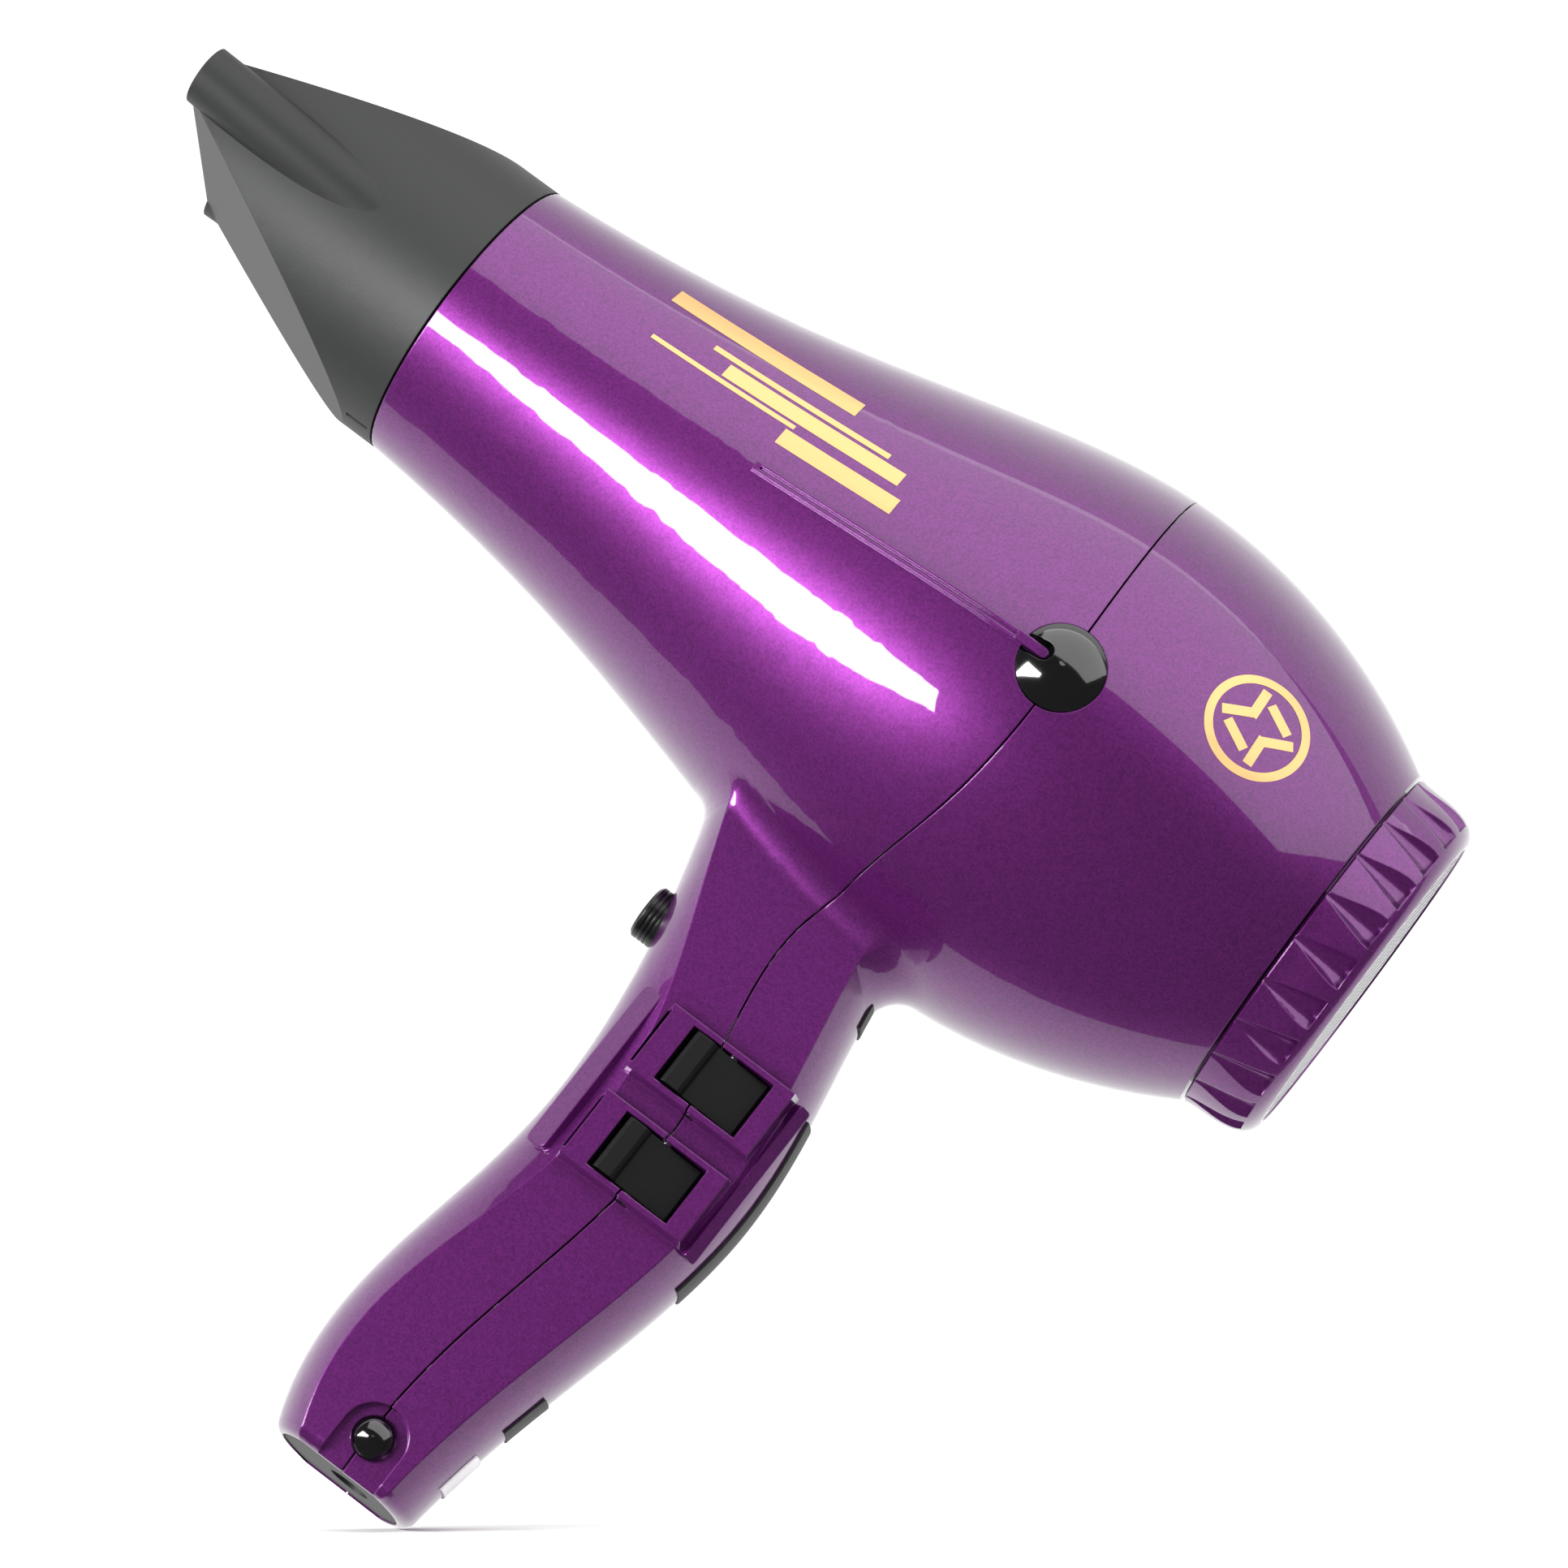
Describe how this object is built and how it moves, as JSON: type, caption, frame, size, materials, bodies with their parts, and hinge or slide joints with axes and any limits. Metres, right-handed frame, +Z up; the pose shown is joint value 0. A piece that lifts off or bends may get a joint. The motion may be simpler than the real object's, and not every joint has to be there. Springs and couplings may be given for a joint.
{
  "type": "hair dryer",
  "caption": "Pistol-shaped hair dryer with a tapering round barrel, slotted air nozzle, fluted rear filter cover and a curved handle with rocker switches and a button.",
  "frame": {"origin": "on the barrel's axis in the plane where the barrel meets the air nozzle", "axes": "+X along the barrel towards the rear filter cover, +Z up so that the handle hangs down, -Y the side with the switches"},
  "size_m": [0.2325, 0.0976, 0.207],
  "materials": {
    "purple_lacquer": "metallic purple lacquer under a clear coat",
    "matte_black": "fine-textured black",
    "gloss_black": "glossy black",
    "satin_black": "satin black",
    "label_white": "plain off-white",
    "spring_steel": "plain",
    "mesh_steel": "perforated",
    "filter_foam": "open-cell foam",
    "shield_aluminium": "rolled sheet",
    "mica": "pressed mica sheet",
    "heater_wire": "drawn resistance wire",
    "duct_plastic": "heat-proof moulded plastic",
    "core_iron": "stacked core",
    "capacitor_case": "moulded case"
  },
  "bodies": {
    "main": {"front_housing": "purple_lacquer", "rear_housing": "purple_lacquer", "outlet_grille": "matte_black", "side_plug_left": "gloss_black", "side_plug_right": "gloss_black", "end_cap": "matte_black", "screw_plug_left": "gloss_black", "screw_plug_right": "gloss_black", "back_strip": "matte_black", "rating_plate": "matte_black", "blank_label": "label_white", "neck_strip": "matte_black", "heat_shield": "shield_aluminium", "heater_board_flat": "mica", "heater_board_upright": "mica", "heater_plate_front": "mica", "heater_plate_rear": "mica", "heating_coil": "heater_wire", "thermal_cutout": "shield_aluminium", "thermal_fuse": "heater_wire", "fan_duct": "duct_plastic", "motor_can": "shield_aluminium", "motor_end_cap": "duct_plastic", "field_core": "core_iron", "bearing_front": "spring_steel", "bearing_rear": "spring_steel", "switch_body_speed": "satin_black", "switch_body_heat": "satin_black", "button_switch": "satin_black", "handle_screws": "spring_steel", "cord_clamp": "duct_plastic", "capacitor": "capacitor_case", "terminal_block": "label_white", "ion_generator": "duct_plastic", "button_spring": "spring_steel"},
    "nozzle_slider": {"nozzle_snap_ring": "spring_steel"},
    "nozzle": {"nozzle": "matte_black"},
    "cover_slider": {"filter_clip_ring": "spring_steel"},
    "filter_cover": {"filter_cover": "purple_lacquer", "filter_mesh": "mesh_steel", "inner_filter": "filter_foam"},
    "fan_rotor": {"motor_shaft": "spring_steel", "armature": "core_iron", "impeller": "duct_plastic", "impeller_nut": "spring_steel"},
    "speed_rocker": {"rocker_speed": "satin_black", "rocker_pin_speed": "spring_steel"},
    "heat_rocker": {"rocker_heat": "satin_black", "rocker_pin_heat": "spring_steel"},
    "cool_shot_button": {"cool_shot_button": "satin_black"}
  },
  "joints": [
    {"name": "nozzle_pull", "type": "slide", "parent": "main", "child": "nozzle_slider", "axis": [-1, 0, 0], "range_m": [0, 0.03]},
    {"name": "nozzle_turn", "type": "hinge", "parent": "nozzle_slider", "child": "nozzle", "pos_m": [-0.005, 0, 0], "axis": [1, 0, 0], "continuous": true},
    {"name": "cover_pull", "type": "slide", "parent": "main", "child": "cover_slider", "axis": [1, 0, 0], "range_m": [0, 0.02]},
    {"name": "cover_turn", "type": "hinge", "parent": "cover_slider", "child": "filter_cover", "pos_m": [0.1708, 0, 0], "axis": [1, 0, 0], "continuous": true},
    {"name": "fan_spin", "type": "hinge", "parent": "main", "child": "fan_rotor", "pos_m": [0.12, 0, 0], "axis": [1, 0, 0], "continuous": true},
    {"name": "speed_rocker_tilt", "type": "hinge", "parent": "main", "child": "speed_rocker", "pos_m": [0.10965, -0.0144, -0.07863], "axis": [0, 0, 1], "range_deg": [-8, 8]},
    {"name": "heat_rocker_tilt", "type": "hinge", "parent": "main", "child": "heat_rocker", "pos_m": [0.10965, -0.0144, -0.09568], "axis": [0, 0, 1], "range_deg": [-8, 8]},
    {"name": "button_press", "type": "slide", "parent": "main", "child": "cool_shot_button", "axis": [1, 0, 0], "range_m": [0, 0.0025], "stiffness_N_per_m": 300, "deforming": ["button_spring"]}
  ]
}
